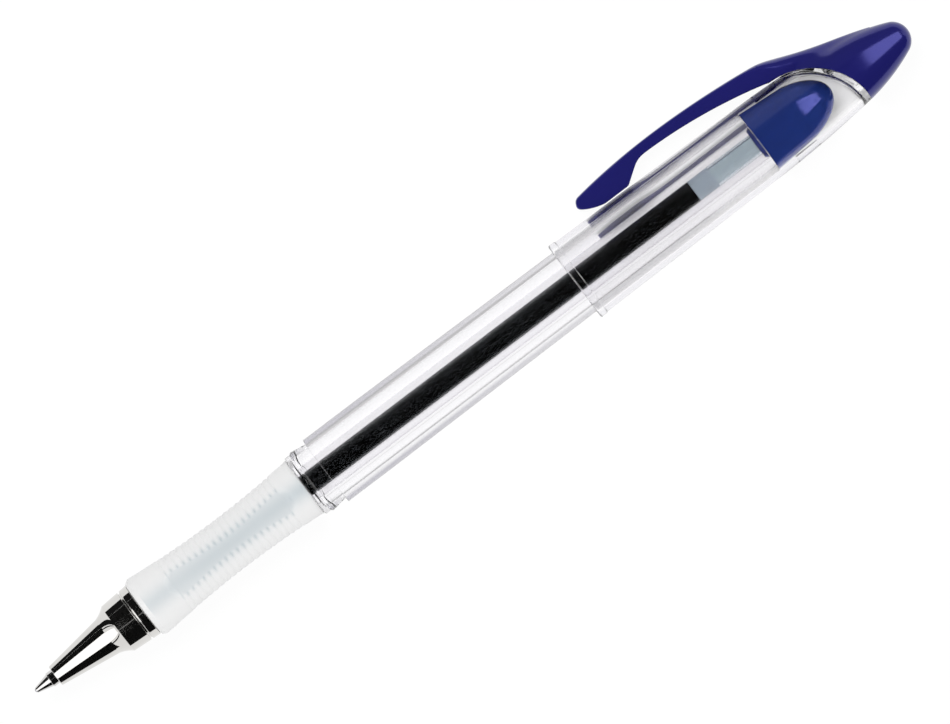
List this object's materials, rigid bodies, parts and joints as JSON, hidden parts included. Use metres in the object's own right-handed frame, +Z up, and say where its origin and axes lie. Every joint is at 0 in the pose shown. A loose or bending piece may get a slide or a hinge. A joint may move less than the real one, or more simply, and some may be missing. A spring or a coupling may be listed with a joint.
{
  "type": "stick ballpoint pen",
  "caption": "Slim clear-barrelled ballpoint pen with plated nose, ribbed rubber grip, visible black refill and a clear cap with blue clip posted on its tail.",
  "frame": {"origin": "on the table under the middle of the lying pen's box", "axes": "+X along the pen from its writing point to its cap, +Z up from the table, clip low on the +Y side"},
  "size_m": [0.1528, 0.0162, 0.0125],
  "materials": {
    "ball_carbide": "polished carbide",
    "point_metal": "turned nickel silver",
    "holder_plastic": "natural moulded plastic",
    "refill_plastic": "translucent extruded tube",
    "black_ink": "wet paste ink",
    "follower_grease": "pale clear grease",
    "plated_nose": "bright plated",
    "grip_rubber": "frosted translucent rubber",
    "clear_barrel": "clear polished plastic",
    "blue_plug": "glossy moulded plastic",
    "clear_cap": "clear polished plastic",
    "blue_clip": "glossy moulded plastic"
  },
  "bodies": {
    "pen": {"point_socket": "point_metal", "tip_holder": "holder_plastic", "refill_tube": "refill_plastic", "ink_column": "black_ink", "ink_follower": "follower_grease", "nose_cone": "plated_nose", "grip_sleeve": "grip_rubber", "barrel": "clear_barrel", "end_plug": "blue_plug"},
    "cap": {"cap_body": "clear_cap", "cap_clip": "blue_clip"},
    "ball": {"writing_ball": "ball_carbide"}
  },
  "joints": [
    {"name": "cap_slide", "type": "slide", "parent": "pen", "child": "cap", "axis": [1, 0, 0], "range_m": [0, 0.046]},
    {"name": "ball_roll", "type": "hinge", "parent": "pen", "child": "ball", "pos_m": [-0.0761, -0.00187, 0.00625], "axis": [0, 1, 0], "continuous": true}
  ]
}
